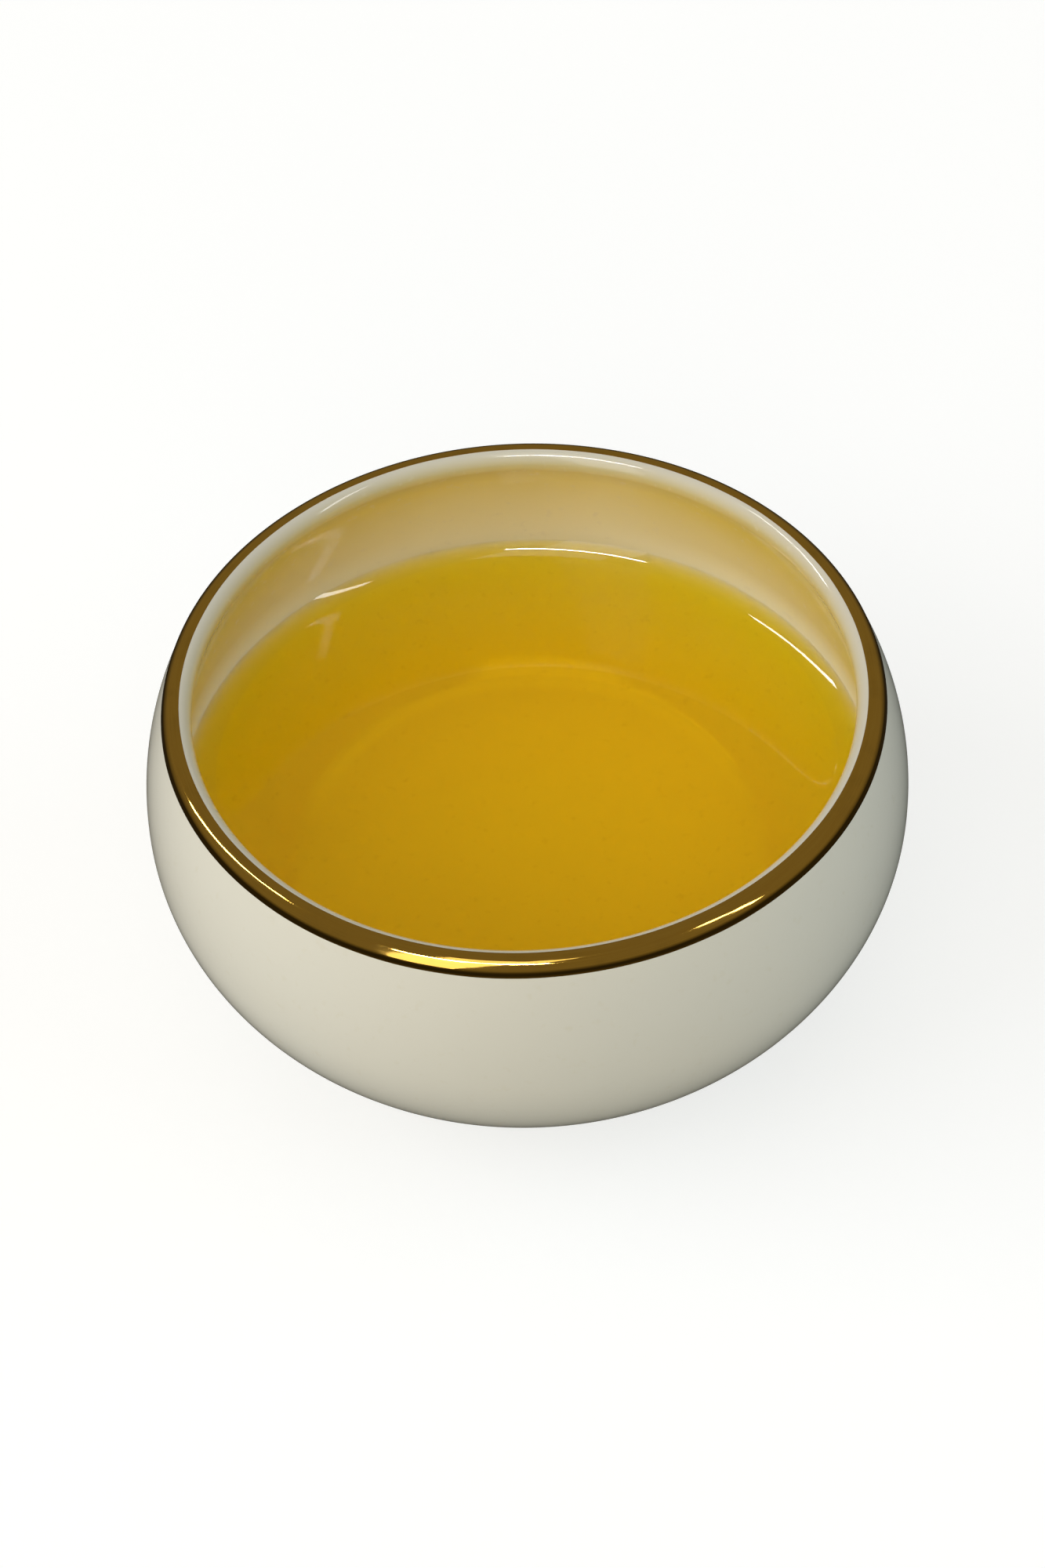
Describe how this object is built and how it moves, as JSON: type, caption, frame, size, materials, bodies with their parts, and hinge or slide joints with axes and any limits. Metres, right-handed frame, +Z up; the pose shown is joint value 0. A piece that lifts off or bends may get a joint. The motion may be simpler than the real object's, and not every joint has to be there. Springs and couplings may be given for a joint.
{
  "type": "teacup",
  "caption": "Low round porcelain tasting cup with no handle, a gilded lip and a turned foot ring, holding tea to about the widest part of its bowl.",
  "frame": {"origin": "centre of the plane that the foot ring rests on", "axes": "+Z up, along the cup's axis, out of its mouth; X and Y are any two level directions at right angles, because the cup is round"},
  "size_m": [0.066, 0.066, 0.033],
  "materials": {
    "porcelain": "matte",
    "glaze": "polished",
    "gilding": "polished",
    "tea": "polished"
  },
  "bodies": {
    "root": {"porcelain_body": "porcelain", "outer_glaze": "glaze", "inner_glaze": "glaze", "recess_glaze": "glaze", "rim_gilding": "gilding", "tea": "tea"}
  },
  "joints": []
}
